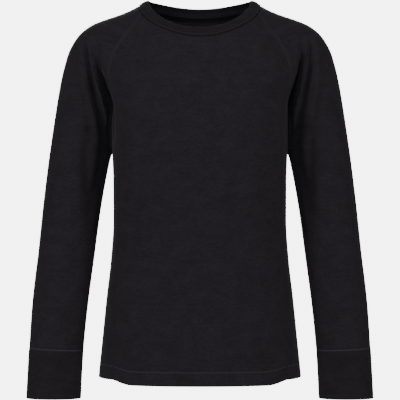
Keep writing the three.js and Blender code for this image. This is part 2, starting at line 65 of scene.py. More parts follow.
# The torso that the cloth lies on: height, half width, depth in front, depth behind, squareness

TORSO = np.array([
    (-620, 161, 90, 90, 2.3),
    (-572, 156.8, 89, 88, 2.3),
    (-515, 151, 88, 86, 2.3),
    (-450, 144.4, 87, 82, 2.3),
    (-390, 137.5, 87, 78, 2.3),
    (-330, 133.7, 89, 77, 2.4),
    (-270, 133.8, 93, 81, 2.7),
    (-226, 135, 96, 87, 3),
    (-180, 135.8, 98, 92, 3.1),
    (-140, 141, 97, 94, 2.9),
    (-105, 152, 93, 93, 2.6),
    (-80, 151, 88, 91, 2.4),
    (-54, 134, 80, 87, 2.3),
    (-25, 107, 64, 78, 2.3),
    (0, 84, 52, 66, 2.2),
    (25, 66, 42, 54, 2.1),
])

# The arm: centre (x, y, z), radius across, and depth as a share of the radius

ARM = np.array([
    (84, 6, -45, 44, 0.86),
    (132, 4, -66.5, 49.1, 0.96),
    (146.3, 4, -75.5, 51.3, 0.96),
    (153, 4, -84.5, 51.4, 0.94),
    (157.6, 5, -96.5, 51.8, 0.92),
    (168, 6, -137.5, 51, 0.86),
    (186.1, 6, -228.6, 47, 0.78),
    (197.9, 4, -305, 44.7, 0.75),
    (207, 1, -382, 43.5, 0.7),
    (216.3, -3, -458.4, 42.9, 0.65),
    (222.3, -7, -535, 41.7, 0.6),
    (226.1, -10, -612, 41.8, 0.56),
])
ARM_STEPS = 5
SHOULDER_BLEND = 26.0
ARMPIT_BLEND = 5.0
BLEND_TOP = -110.0
BLEND_BOTTOM = -190.0

# Sections of the sleeve and the cuff: outer edge (x, z) and inner edge (x, z) as seen from the front

SLEEVE = np.array([
    (192, -52, 138.2, -236.5),
    (204, -76, 138.8, -238.5),
    (211.5, -108, 139.6, -242),
    (217.5, -142, 140.8, -247.5),
    (223.5, -178, 142.6, -255),
    (229, -214, 145.8, -267.5),
    (234, -250, 150, -286),
    (239.5, -292, 155, -315),
    (245.5, -342, 160.7, -356),
    (251.5, -396, 167.6, -406),
    (257.4, -452, 174.3, -458),
    (261.6, -500, 178.6, -504.5),
    (264.4, -527.7, 180.8, -531.1),
])
CUFF = np.array([
    (264.4, -527.7, 180.8, -531.1),
    (265.3, -545, 181.7, -547.3),
    (266.8, -573, 183.2, -574.2),
    (268.3, -604, 185, -604),
])

# Seam lines (x, z) as seen from the front or the back, on the wearer's left

SIDE_SEAM = [(132.5, -571), (129, -450), (124.5, -330), (123.5, -226), (124.2, -165), (127, -147),
             (131.3, -135), (136.5, -126)]
RAGLAN_FRONT = [(136.5, -126), (139, -108), (136.4, -91.3), (129.6, -72.5), (120.1, -57.2), (106.7, -39)]
RAGLAN_BACK = [(136.5, -126), (138, -108), (133.5, -90), (124, -71), (111, -52), (96, -34)]
UNDERARM = [(136.5, -126), (136.8, -150), (136.6, -175), (136.2, -198), (135.9, -215)]

# Neck opening: half width, depth in front and behind, and the height in front, at the side and behind

NECK_FOOT = (94, -78, 77, -54, -1, -9.5)
NECK_TOP = (80.5, -72, 69, -39.4, 9.8, 3.5)
NECK_FRONT_CURVE = 1.2
NECK_BACK_CURVE = 3.6
RAGLAN_FRONT_TURN = 70
RAGLAN_BACK_TURN = 124
BAND_SWELL = 1.3
BAND_START = 0.05
BAND_ROLL = 1.3
ROLL_HEIGHTS = (0.2, 2.4)
BAND_SINK = 0.9
BAND_ROW = 3.0
BAND_GROOVE = 5.5

# How finely the cloth is divided

SIDE_ROWS = 144
RAGLAN_ROWS = 46
PANEL_COLUMNS = 96
UNDERARM_COLUMNS = 48
SHOULDER_COLUMNS = 14
SECTION_STEPS = 11
ARMHOLE_ROWS = 26
CUFF_STEPS = 8
BAND_ROWS = 26
SEAM_CROWDING = 0.4

FRONT, BACK = -1, 1
RIGHT_ARM, LEFT_ARM, BOTH = -1, 1, 0

# Folds: face, side, height (a trough is negative), width, and the line (distance from the centre, z)

FOLDS = [
    (FRONT, RIGHT_ARM, -8.0, 7.5, [(158, -48), (157, -64), (156, -78), (154.5, -92), (153, -104), (151, -116),
                                   (147.5, -129), (142.5, -143), (138, -160), (136, -190), (135, -214)]),
    (FRONT, RIGHT_ARM, -10.0, 4.4, [(165, -76), (160.5, -91), (157, -102), (154, -112), (150.5, -122),
                                    (147, -132), (143, -142), (138.8, -153), (136.4, -164), (135, -176),
                                    (134.2, -192), (134.4, -216)]),
    (FRONT, RIGHT_ARM, 6.5, 4.6, [(172, -54), (168.5, -66), (165.5, -82), (163.3, -94), (160.5, -109),
                                  (154.8, -125), (150, -141), (146.6, -156), (142.5, -171), (140, -186)]),
    (FRONT, RIGHT_ARM, -9.5, 7.5, [(178, -46), (175, -60), (171.5, -78), (169.6, -94), (166.8, -109),
                                   (164, -125), (160, -141), (157, -156), (152, -171), (149, -184),
                                   (146, -202)]),
    (FRONT, RIGHT_ARM, 4.0, 8, [(186, -68), (184, -83), (181, -105), (177, -123), (172.6, -140), (168, -155),
                                (164, -168), (161, -182), (158, -197)]),
    (FRONT, RIGHT_ARM, -3.4, 9, [(182, -129), (176, -152), (171, -171), (167, -191), (162.6, -212)]),
    (FRONT, RIGHT_ARM, -6.0, 12, [(149, -158), (146, -192), (147, -228), (154, -264), (162, -300),
                                  (172, -346)]),
    (FRONT, RIGHT_ARM, -5.0, 13, [(168, -186), (172, -212), (172.5, -238), (172, -264), (172, -292),
                                  (174, -326)]),
    (FRONT, RIGHT_ARM, 1.4, 12, [(98, -218), (103, -262), (113, -320)]),
    (FRONT, RIGHT_ARM, -1.4, 11, [(106, -205), (110, -240), (117, -286)]),
    (FRONT, LEFT_ARM, -8.0, 7.5, [(158, -46), (157.5, -62), (157, -78), (156, -94), (154, -109),
                                  (150.5, -125), (145, -141), (141, -156), (138, -171), (136, -192),
                                  (136, -214)]),
    (FRONT, LEFT_ARM, -10.0, 4.4, [(158, -72), (156.8, -84), (155.6, -94), (153.5, -109), (150, -120),
                                   (147, -130), (143.5, -141), (140.6, -155), (138.4, -170), (137, -184),
                                   (136.6, -199), (136.6, -217)]),
    (FRONT, LEFT_ARM, 6.5, 4.4, [(167, -52), (165.6, -66), (164.7, -79), (162.4, -94), (159.4, -109),
                                 (155.2, -125), (150, -141), (147, -156), (143.5, -171), (140.5, -190)]),
    (FRONT, LEFT_ARM, -9.0, 6.8, [(170.5, -46), (169.5, -62), (168.5, -79), (167.7, -94), (166.2, -109),
                                  (162.6, -125), (159, -141), (156.6, -156), (152.6, -171), (148.6, -192),
                                  (145, -214)]),
    (FRONT, LEFT_ARM, 4.0, 9, [(181, -66), (180.6, -83), (180.3, -111), (178.8, -135), (175.7, -153),
                               (173, -168), (170, -183), (166.7, -198), (164, -214)]),
    (FRONT, LEFT_ARM, -3.6, 9, [(186, -123), (183, -150), (178.6, -174), (173.4, -196), (168.4, -220)]),
    (FRONT, LEFT_ARM, -6.0, 12, [(149, -162), (147, -194), (148, -230), (155, -265), (163, -302),
                                 (172, -346)]),
    (FRONT, LEFT_ARM, 1.6, 10, [(192, -194), (192, -223), (190, -254)]),
    (FRONT, LEFT_ARM, -5.0, 12, [(164, -184), (168, -212), (168.5, -238), (168, -264), (169, -292),
                                 (172, -324)]),
    (FRONT, LEFT_ARM, -1.2, 12, [(108, -196), (112, -236), (118, -282)]),
    (BACK, RIGHT_ARM, -7.4, 8, [(168, -84), (156, -106), (147, -127), (140, -150), (136, -184), (134, -222)]),
    (BACK, RIGHT_ARM, 3.8, 8, [(176, -74), (169, -104), (160, -130), (150, -154), (143, -182)]),
    (BACK, RIGHT_ARM, -3.6, 9, [(184, -90), (178, -120), (168, -150), (158, -184), (152, -214)]),
    (BACK, RIGHT_ARM, 2.4, 10, [(192, -112), (185, -146), (175, -182)]),
    (BACK, RIGHT_ARM, -3.6, 13, [(150, -170), (148, -205), (152, -244), (160, -290)]),
    (BACK, RIGHT_ARM, -1.6, 12, [(104, -190), (112, -226), (118, -268)]),
    (BACK, LEFT_ARM, -7.0, 8, [(165, -82), (155, -104), (146, -126), (139, -152), (136, -186), (135, -222)]),
    (BACK, LEFT_ARM, 3.6, 8, [(173, -70), (167, -100), (158, -128), (149, -154), (142, -180)]),
    (BACK, LEFT_ARM, -3.4, 9, [(181, -84), (175, -116), (166, -148), (157, -180), (151, -210)]),
    (BACK, LEFT_ARM, 2.2, 10, [(190, -106), (183, -142), (174, -176)]),
    (BACK, LEFT_ARM, -3.4, 13, [(150, -166), (147, -200), (151, -240), (159, -286)]),
    (BACK, BOTH, -1.3, 16, [(0, -60), (2, -78), (0, -100)]),
]


# Smooth curves through short tables

def row_at(table, position):
    """Rows of a table at any positions between them, on a smooth curve through all of them."""
    table = np.asarray(table, float)
    last = len(table) - 1
    place = np.clip(np.atleast_1d(position).astype(float), 0, last)
    first = np.minimum(np.floor(place), last - 1).astype(int)
    t = (place - first)[:, None]
    a, b, c, d = (table[np.clip(first + step, 0, last)] for step in (-1, 0, 1, 2))
    return b + 0.5 * t * ((c - a) + t * ((2 * a - 5 * b + 4 * c - d) + t * (3 * b - a - 3 * c + d)))


def height_curve(table, column):
    """A value that changes with height and never overshoots between the rows of its table."""
    z, value = table[:, 0], table[:, column]
    step = np.diff(value) / np.diff(z)
    below, above = step[:-1], step[1:]
    turning = below * above <= 0
    slope = np.zeros(len(z))
    slope[1:-1] = np.where(turning, 0, 2 * below * above / np.where(turning, 1, below + above))

    def at(height):
        i = np.clip(np.searchsorted(z, height) - 1, 0, len(z) - 2)
        span = z[i + 1] - z[i]
        t = np.clip((height - z[i]) / span, 0, 1)
        low = (1 + 2 * t) * (1 - t) ** 2 * value[i] + t * (1 - t) ** 2 * span * slope[i]
        high = t * t * (3 - 2 * t) * value[i + 1] + t * t * (t - 1) * span * slope[i + 1]
        return low + high

    return at


def smooth_step(low, high, value):
    t = np.clip((value - low) / (high - low), 0, 1)
    return t * t * (3 - 2 * t)


# The form under the cloth, as a field that is zero on its surface and negative inside

torso_half, torso_front, torso_back, torso_square = (height_curve(TORSO, column) for column in (1, 2, 3, 4))
ARM_CHAIN = row_at(ARM, np.arange((len(ARM) - 1) * ARM_STEPS + 1) / ARM_STEPS)


def torso_field(p):
    x, y, z = np.abs(p[:, 0]), p[:, 1], p[:, 2]
    half, square = torso_half(z), torso_square(z)
    depth = np.where(y < 0, torso_front(z), torso_back(z))
    reach = ((x / half) ** square + (np.abs(y) / depth) ** square) ** (1 / square)
    return (reach - 1) * np.sqrt(half * depth)


def arm_field(p):
    start, run = ARM_CHAIN[:-1], np.diff(ARM_CHAIN, axis=0)
    x, y, z = np.abs(p[:, 0])[:, None], p[:, 1][:, None], p[:, 2][:, None]
    along = (x - start[:, 0]) * run[:, 0] + (z - start[:, 2]) * run[:, 2]
    t = np.clip(along / (run[:, 0] ** 2 + run[:, 2] ** 2), 0, 1)
    off_x = x - start[:, 0] - t * run[:, 0]
    off_z = z - start[:, 2] - t * run[:, 2]
    off_y = (y - start[:, 1] - t * run[:, 1]) / (start[:, 4] + t * run[:, 4])
    return (np.sqrt(off_x ** 2 + off_y ** 2 + off_z ** 2) - start[:, 3] - t * run[:, 3]).min(axis=1)


def worn_field(p):
    torso, arm = torso_field(p), arm_field(p)
    blend = ARMPIT_BLEND + (SHOULDER_BLEND - ARMPIT_BLEND) * smooth_step(BLEND_BOTTOM, BLEND_TOP, p[:, 2])
    near = np.maximum(blend - np.abs(torso - arm), 0) / blend
    return np.minimum(torso, arm) - near * near * blend / 4


def slope_of(field, p, axes=(0, 1, 2)):
    slope = np.zeros_like(p)
    for axis in axes:
        step = np.zeros(3)
        step[axis] = 0.05
        slope[:, axis] = (field(p + step) - field(p - step)) / 0.1
    return slope


def settle(p, field=worn_field, axes=(0, 1, 2), steps=8):
    """Moves points straight onto the form, or along the given axes only."""
    shape = p.shape
    p = p.reshape(-1, 3).copy()
    for _ in range(steps):
        slope = slope_of(field, p, axes)
        step = field(p) / np.maximum((slope ** 2).sum(axis=1), 0.05)
        p -= slope * np.clip(step, -12, 12)[:, None]
    return p.reshape(shape)


def out_of_cloth(p):
    """The direction straight out of the form at each point."""
    slope = slope_of(worn_field, p.reshape(-1, 3))
    return (slope / np.linalg.norm(slope, axis=1, keepdims=True)).reshape(p.shape)


def face_on(x, z, side):
    """Points of the form at places seen from the front or the back."""
    x, z = np.broadcast_arrays(np.asarray(x, float), np.asarray(z, float))
    shape = x.shape
    x, z = x.ravel(), z.ravel()

    def field(y):
        return worn_field(np.stack([x, y, z], axis=1))

    outside = np.full(x.shape, 112.0 * side)
    inside = outside.copy()
    searching = np.ones(x.shape, bool)
    for reach in np.arange(112.0, -21.0, -3.0):
        now_inside = searching & (field(np.full(x.shape, reach * side)) < 0)
        inside[searching] = reach * side
        searching &= ~now_inside
        outside[searching] = reach * side
        if not searching.any():
            break
    for _ in range(18):
        middle = (inside + outside) / 2
        within = field(middle) < 0
        inside = np.where(within, middle, inside)
        outside = np.where(within, outside, middle)
    return np.stack([x, (inside + outside) / 2, z], axis=1).reshape(*shape, 3)


# Folds

FOLD_LINES = [(face, side, height, width, row_at(line, np.linspace(0, len(line) - 1, 8 * len(line))))
              for face, side, height, width, line in FOLDS]


def fold_height(p, normal):
    """How far the folds lift or sink the cloth at each point."""
    flat, facing_out = p.reshape(-1, 3), normal.reshape(-1, 3)
    height = np.zeros(len(flat))
    for face, side, rise, width, line in FOLD_LINES:
        x = flat[:, 0] * side if side else flat[:, 0]
        low, high = line.min(axis=0) - 3 * width, line.max(axis=0) + 3 * width
        near = (x > low[0]) & (x < high[0]) & (flat[:, 2] > low[1]) & (flat[:, 2] < high[1])
        near &= facing_out[:, 1] * face > 0
        if not near.any():
            continue
        place = np.stack([x[near], flat[near, 2]], axis=1)
        start, run = line[:-1], np.diff(line, axis=0)
        offset = place[:, None] - start[None]
        t = np.clip((offset * run).sum(axis=2) / (run ** 2).sum(axis=1), 0, 1)
        distance = np.linalg.norm(offset - t[..., None] * run, axis=2)
        nearest = distance.argmin(axis=1)
        pick = (np.arange(len(place)), nearest)
        share = (nearest + t[pick]) / (len(line) - 1)
        across = np.exp(-2 * (distance[pick] / width) ** 2)
        ends = np.sqrt(np.clip(np.sin(np.pi * share), 0, 1))
        height[near] += rise * across * ends * smooth_step(0.05, 0.45, facing_out[near, 1] * face)
    return height.reshape(p.shape[:-1])


def on_cloth(p, lift=0.0):
    """Points of the form lifted onto the folded cloth, and the direction out of it."""
    normal = out_of_cloth(p)
    return p + normal * (fold_height(p, normal) + lift)[..., None], normal


# Seam curves

def evenly(fine, shares):
    """Points at given shares of the length of a fine polyline."""
    lengths = np.concatenate([[0], np.cumsum(np.linalg.norm(np.diff(fine, axis=0), axis=1))])
    wanted = np.asarray(shares) * lengths[-1]
    return np.stack([np.interp(wanted, lengths, fine[:, axis]) for axis in range(3)], axis=1)


def shares_of(points):
    lengths = np.concatenate([[0], np.cumsum(np.linalg.norm(np.diff(points, axis=0), axis=1))])
    return lengths / lengths[-1]


def along_table(rows, count, crowding=0.0):
    """Places along a table's curve, closer together towards its end where crowding is above zero."""
    fine = row_at(rows, np.linspace(0, len(rows) - 1, 60 * (len(rows) - 1) + 1))
    even = np.linspace(0, 1, count + 1)
    flat = np.stack([fine[:, 0], np.zeros(len(fine)), fine[:, 1]], axis=1)
    return evenly(flat, even + crowding * even * (1 - even))


def neck_place(ring, degrees):
    half, front, back, front_z, side_z, back_z = ring
    turn = np.radians(degrees)
    forward, backward = np.maximum(np.cos(turn), 0), np.maximum(-np.cos(turn), 0)
    height = (side_z + (front_z - side_z) * forward ** NECK_FRONT_CURVE
              + (back_z - side_z) * backward ** NECK_BACK_CURVE)
    return np.stack([half * np.sin(turn), front * forward + back * backward, height], axis=-1)


def neck_foot(start, end, count):
    return settle(neck_place(NECK_FOOT, np.linspace(start, end, count + 1)))


def raglan(table, side, neck_point):
    places = along_table([*table, (neck_point[0], neck_point[2])], RAGLAN_ROWS)
    points = face_on(places[:, 0], places[:, 2], side)
    points[-1] = neck_point
    return points


def side_seam(side, top):
    places = along_table(SIDE_SEAM, SIDE_ROWS, SEAM_CROWDING)
    points = face_on(places[:, 0], places[:, 2], side)
    points[-1] = top
    return points


def underarm_point():
    """The lowest point of the armhole, on the bridge between torso and sleeve."""
    across = np.arange(132, 142, 0.1)
    open_z, closed_z = -260.0, -170.0
    for _ in range(30):
        z = (open_z + closed_z) / 2
        field = worn_field(np.stack([across, np.full(across.shape, 5.0), np.full(across.shape, z)], axis=1))
        if field.max() > 0:
            open_z = z
        else:
            closed_z = z
        x = across[field.argmax()]
    return np.array([x, 5.0, closed_z])


def lower_armhole(side, top, lowest):
    """From the top of the side seam down to the underarm point."""
    places = row_at(UNDERARM, np.linspace(0, len(UNDERARM) - 1, 121))
    down = face_on(places[:, 0], places[:, 1], side)
    turn = np.linspace(0, math.pi / 2, 25)[1:-1]
    start = down[-1]
    under = np.stack([
        start[0] + (lowest[0] - start[0]) * np.sin(turn),
        lowest[1] + (start[1] - lowest[1]) * np.cos(turn),
        start[2] + (lowest[2] - start[2]) * np.sin(turn),
    ], axis=1)
    down[0] = top
    fine = np.concatenate([down, settle(under), [lowest]])
    return evenly(fine, np.linspace(0, 1, UNDERARM_COLUMNS // 2 + 1))


def mirrored(points):
    return points * np.array([-1.0, 1.0, 1.0])


lowest = underarm_point()
neck_front = neck_foot(-RAGLAN_FRONT_TURN, RAGLAN_FRONT_TURN, PANEL_COLUMNS)
neck_back = neck_foot(360 - RAGLAN_BACK_TURN, RAGLAN_BACK_TURN, PANEL_COLUMNS)
neck_shoulder = neck_foot(RAGLAN_FRONT_TURN, RAGLAN_BACK_TURN, SHOULDER_COLUMNS)
raglan_front = raglan(RAGLAN_FRONT, FRONT, neck_shoulder[0])
raglan_back = raglan(RAGLAN_BACK, BACK, neck_shoulder[-1])
seam_front = side_seam(FRONT, raglan_front[0])
seam_back = side_seam(BACK, raglan_back[0])
armhole_front = lower_armhole(FRONT, raglan_front[0], lowest)
armhole_back = lower_armhole(BACK, raglan_back[0], lowest)


def hem_height(x):
    share = np.clip((SIDE_SEAM[0][0] - np.abs(x)) / HEM_CORNER, 0, 1)
    return HEM_HEIGHT - HEM_DROP * np.sin(share * math.pi / 2) ** 1.2


# Grids of points on the form: rows run across a piece, and the first row is its lower edge

def fill_patch(bottom, top, left, right, place):
    u = np.linspace(0, 1, len(bottom))[None, :, None]
    v = np.linspace(0, 1, len(left))[:, None, None]
    grid = (bottom[None] * (1 - v) + top[None] * v + left[:, None] * (1 - u) + right[:, None] * u
            - bottom[0] * (1 - u) * (1 - v) - bottom[-1] * u * (1 - v)
            - top[0] * (1 - u) * v - top[-1] * u * v)
    grid[1:-1, 1:-1] = place(grid[1:-1, 1:-1])
    grid[0], grid[-1], grid[:, 0], grid[:, -1] = bottom, top, left, right
    return grid


def body_panel(side, seam, raglan_seam, neck):
    right = np.concatenate([seam, raglan_seam[1:]])
    x = seam[0][0] * np.linspace(-1, 1, PANEL_COLUMNS + 1)
    bottom = face_on(x, hem_height(x), side)
    return fill_patch(bottom, neck, mirrored(right), right, lambda p: face_on(p[..., 0], p[..., 2], side))


def side_panel():
    top = np.concatenate([armhole_front, armhole_back[:-1][::-1]])
    start = math.atan2(seam_front[0][1], seam_front[0][0])
    end = math.atan2(seam_back[0][1], seam_back[0][0])
    turn = np.linspace(start, end, len(top))
    ring = np.stack([150 * np.cos(turn), 150 * np.sin(turn), np.full(turn.shape, HEM_HEIGHT)], axis=1)
    bottom = settle(ring, torso_field, (0, 1), 16)
    bottom[0], bottom[-1] = seam_front[0], seam_back[0]

    def place(p):
        return settle(settle(p, torso_field, (0, 1), 14))

    return fill_patch(bottom, top, seam_front, seam_back, place)


def half_sections(sections, side):
    """Fine half sections through the sleeve, from its outer edge round one side to its inner edge."""
    out_x, out_z, in_x, in_z = sections.T
    middle = np.stack([(out_x + in_x) / 2, np.zeros(len(sections)), (out_z + in_z) / 2], axis=1)
    middle[:, 1] = np.interp(-middle[:, 2], -ARM_CHAIN[:, 2], ARM_CHAIN[:, 1])
    outward = np.stack([out_x - in_x, np.zeros(len(sections)), out_z - in_z], axis=1)
    outward /= np.linalg.norm(outward, axis=1, keepdims=True)
    turn = np.linspace(0, math.pi, 97)
    ray = outward[:, None] * np.cos(turn)[None, :, None]
    ray[..., 1] = side * np.sin(turn)
    inside, outside = np.zeros(ray.shape[:2]), np.full(ray.shape[:2], 160.0)
    for _ in range(20):
        reach = (inside + outside) / 2
        within = arm_field((middle[:, None] + ray * reach[..., None]).reshape(-1, 3)).reshape(reach.shape) < 0
        inside = np.where(within, reach, inside)
        outside = np.where(within, outside, reach)
    return settle(middle[:, None] + ray * inside[..., None], steps=6)


def armhole_half(neck, seam, lower):
    return np.concatenate([neck, seam[:-1][::-1], lower[1:]])


half_neck = SHOULDER_COLUMNS // 2
ARMHOLE = {
    FRONT: armhole_half(neck_shoulder[:half_neck + 1][::-1], raglan_front, armhole_front),
    BACK: armhole_half(neck_shoulder[half_neck:], raglan_back, armhole_back),
}
SLEEVE_HALF = len(ARMHOLE[FRONT]) - 1


def closed_row(front_half, back_half):
    return np.concatenate([front_half, back_half[1:-1][::-1]])


def tube_rows(sections, evenness):
    """Closed rows round the sleeve. Their spacing eases from that of the armhole to an even one."""
    halves = {}
    for side in (FRONT, BACK):
        cut = shares_of(ARMHOLE[side])
        even = np.linspace(0, 1, len(cut))
        fine = half_sections(sections, side)
        halves[side] = [evenly(line, cut + (even - cut) * ease) for line, ease in zip(fine, evenness)]
    return np.stack([closed_row(front, back) for front, back in zip(halves[FRONT], halves[BACK])])


def sleeve_grid():
    position = np.linspace(0, len(SLEEVE) - 1, (len(SLEEVE) - 1) * SECTION_STEPS + 1)
    rows = tube_rows(row_at(SLEEVE, position), smooth_step(-1, 5, position))
    armhole = closed_row(ARMHOLE[FRONT], ARMHOLE[BACK])
    share = (np.arange(1, ARMHOLE_ROWS) / ARMHOLE_ROWS)[:, None, None]
    between = settle(armhole * (1 - share) + rows[0] * share)
    return np.concatenate([armhole[None], between, rows])[::-1]


def cuff_grid():
    position = np.linspace(0, len(CUFF) - 1, (len(CUFF) - 1) * CUFF_STEPS + 1)
    return tube_rows(row_at(CUFF, position), np.ones(len(position)))[::-1]


# Finishes

class Amount:
    """One number of a finish that changes over the surface. Sums with it add the maths nodes."""

    def __init__(self, finish, socket):
        self.finish, self.socket = finish, socket

    def sum(self, operation, *values):
        values = [value.socket if isinstance(value, Amount) else value for value in values]
        return self.finish.node("ShaderNodeMath", {"operation": operation}, dict(enumerate(values)))

    def __add__(self, other): return self.sum("ADD", self, other)
    def __radd__(self, other): return self.sum("ADD", other, self)
    def __sub__(self, other): return self.sum("SUBTRACT", self, other)
    def __rsub__(self, other): return self.sum("SUBTRACT", other, self)
    def __mul__(self, other): return self.sum("MULTIPLY", self, other)
    def __rmul__(self, other): return self.sum("MULTIPLY", other, self)
    def __truediv__(self, other): return self.sum("DIVIDE", self, other)
    def __rtruediv__(self, other): return self.sum("DIVIDE", other, self)
    def __pow__(self, other): return self.sum("POWER", self, other)
    def __abs__(self): return self.sum("ABSOLUTE", self)

    def wave(self): return self.sum("SINE", self)
    def part(self): return self.sum("FRACT", self)
    def at_most(self, other): return self.sum("MINIMUM", self, other)
    def at_least(self, other): return self.sum("MAXIMUM", self, other)

    def rise(self, low, high):
        """0 below low and 1 above high, smooth between; high may be the lower one."""
        settings = {"interpolation_type": "SMOOTHSTEP"}
        if low < high:
            return self.finish.node("ShaderNodeMapRange", settings,
                                    {"Value": self, "From Min": low, "From Max": high})
        return 1 - self.rise(high, low)


class Finish:
    def __init__(self, name, rough, sheen, sheen_rough):
        self.material = bpy.data.materials.new(name)
        self.material.use_nodes = True
        self.tree = self.material.node_tree
        self.tree.nodes.clear()
        output = self.tree.nodes.new("ShaderNodeOutputMaterial")
        self.shader = self.tree.nodes.new("ShaderNodeBsdfPrincipled")
        self.tree.links.new(self.shader.outputs["BSDF"], output.inputs["Surface"])
        self.shader.inputs["Roughness"].default_value = rough
        self.shader.inputs["Sheen Weight"].default_value = sheen
        self.shader.inputs["Sheen Roughness"].default_value = sheen_rough
        self.shader.inputs["Specular IOR Level"].default_value = 0.12

    def node(self, kind, settings=None, values=None, output=0):
        """Adds a node with its settings, then gives its sockets their values or links."""
        made = self.tree.nodes.new(kind)
        for name, setting in (settings or {}).items():
            setattr(made, name, setting)
        sockets = {socket.identifier: socket for socket in made.inputs}
        for name, value in (values or {}).items():
            socket = made.inputs[name] if isinstance(name, int) else sockets.get(name) or made.inputs[name]
            value = value.socket if isinstance(value, Amount) else value
            if isinstance(value, bpy.types.NodeSocket):
                self.tree.links.new(value, socket)
            else:
                socket.default_value = value
        outputs = {socket.identifier: socket for socket in made.outputs}
        return Amount(self, outputs[output] if output in outputs else made.outputs[output])

    def across_and_along(self):
        """The cloth's own coordinates in millimetres: across the knit, and along it."""
        cloth = self.node("ShaderNodeUVMap", {"uv_map": "cloth"})
        parts = self.node("ShaderNodeSeparateXYZ", None, {"Vector": cloth}).socket.node
        return (Amount(self, parts.outputs["X"]) * (1 / MM), Amount(self, parts.outputs["Y"]) * (1 / MM))

    def noise(self, across, along, size_across, size_along, seed, detail):
        """Uneven patches of a size across and along the knit, in millimetres."""
        place = self.node("ShaderNodeCombineXYZ", None,
                          {"X": across / size_across, "Y": along / size_along, "Z": seed})
        return self.node("ShaderNodeTexNoise", {"noise_dimensions": "3D"},
                         {"Vector": place, "Scale": 1.0, "Detail": detail, "Roughness": 0.55})

    def mix(self, share, first, second):
        return self.node("ShaderNodeMix", {"data_type": "RGBA"},
                         {"Factor_Float": share, "A_Color": first, "B_Color": second}, "Result_Color")

    def reverse(self):
        """Painted shade: how much the wrong side of the cloth is darkened, as the inside of the top lies in
        shade.
        """
        return self.node("ShaderNodeAttribute", {"attribute_name": "reverse"}, None, "Fac") * INSIDE_SHADE_SHARE

    def connect(self, name, value):
        value = value.socket if isinstance(value, Amount) else value
        self.tree.links.new(value, self.shader.inputs[name])

    def raised(self, height, strength):
        """Height in millimetres as relief."""
        return self.node("ShaderNodeBump", None,
                         {"Strength": strength, "Distance": MM, "Height": height}, "Normal")


TURN = 2 * math.pi

# Colours: the dark and pale fibres of the jersey, the cuffs and the neckband, the sewing thread and the cloth
# between its stitches, darker as painted shade, the painted shadow in the groove under the neckband, and
# painted shade for the wrong side of the cloth

DARK_YARN = (0.0075, 0.0062, 0.0083, 1)
PALE_YARN = (0.0220, 0.0188, 0.0232, 1)
CUFF_DARK = (0.0062, 0.0052, 0.0069, 1)
CUFF_PALE = (0.0185, 0.0158, 0.0196, 1)
BAND_DARK = (0.0058, 0.0048, 0.0064, 1)
BAND_PALE = (0.0172, 0.0147, 0.0182, 1)
THREAD = (0.0225, 0.0193, 0.0238, 1)
PALE_THREAD = (0.034, 0.0300, 0.0358, 1)
SIDE_THREAD = (0.0150, 0.0129, 0.0160, 1)
# The cloth between the stitches, its own colour darkened as painted shade
THREAD_SHADE = (0.0112, 0.0094, 0.0120, 1)
# Painted shadow in the groove under the neckband
GROOVE_SHADE = (0.0030, 0.0024, 0.0034, 1)
# Painted shade for the wrong side of the cloth and of its thread, and the share of it that is mixed in
PAINTED_INSIDE_SHADE = (0.0030, 0.0024, 0.0034, 1)
PAINTED_INSIDE_SHADE_THREAD = (0.0075, 0.0062, 0.0083, 1)
INSIDE_SHADE_SHARE = 0.04

# The knit: width and height of a stitch. The fibre's patches: size across and along, seed, detail, and share.

WALE = 0.9
COURSE = 0.75
MELANGE = [
    (1.6, 0.8, 5.3, 3.0, 0.26),
    (5.0, 1.7, 1.7, 2.0, 0.38),
    (17.0, 4.0, 3.1, 2.0, 0.14),
    (27.0, 24.0, 8.9, 3.0, 0.22),
]
NEEDLE_ROW_HALF = 0.55
NEEDLE_PITCH = 2.6


def knit(across, along):
    """The plain stitches of the knit as a height: columns of small v shapes."""
    column = across / WALE
    leg = abs((column.part() - 0.5) * 2)
    row = along / COURSE + leg * 0.5
    ridge = abs((column * (TURN / 2)).wave()) ** 0.6
    return ridge * ((row * TURN).wave() * 0.3 + 0.7)


def melange(finish, across, along, dark, pale):
    """Fine flat streaks of paler fibre along the courses, in broad soft patches."""
    tone = 0
    for size_across, size_along, seed, detail, share in MELANGE:
        tone = finish.noise(across, along, size_across, size_along, seed, detail) * share + tone
    return finish.mix(tone.rise(0.26, 0.74), dark, pale), tone


def jersey(name, dark, pale, rows=()):
    """Melange jersey. Rows are needle rows at those distances along the piece's own length."""
    finish = Finish(name, 0.9, 0.03, 0.5)
    across, along = finish.across_and_along()
    colour, tone = melange(finish, across, along, dark, pale)
    height = knit(across, along) * 0.12 + tone * 0.2
    for place in rows:
        offset = abs(along - place)
        stitch = abs((across / NEEDLE_PITCH).part() - 0.5).rise(0.46, 0.36)
        row = offset.rise(NEEDLE_ROW_HALF + 0.5, NEEDLE_ROW_HALF * 0.5)
        colour = finish.mix(row * stitch * 0.8, colour, THREAD)
        height = height - offset.rise(1.5, 0.3) * 0.3 + row * stitch * 0.35
    # The wrong side of the cloth is darkened with painted shade, as the inside of the top lies in shade
    finish.connect("Base Color", finish.mix(finish.reverse(), colour, PAINTED_INSIDE_SHADE))
    finish.connect("Roughness", 0.84 + tone * 0.12)
    finish.connect("Normal", finish.raised(height, 0.22))
    return finish.material


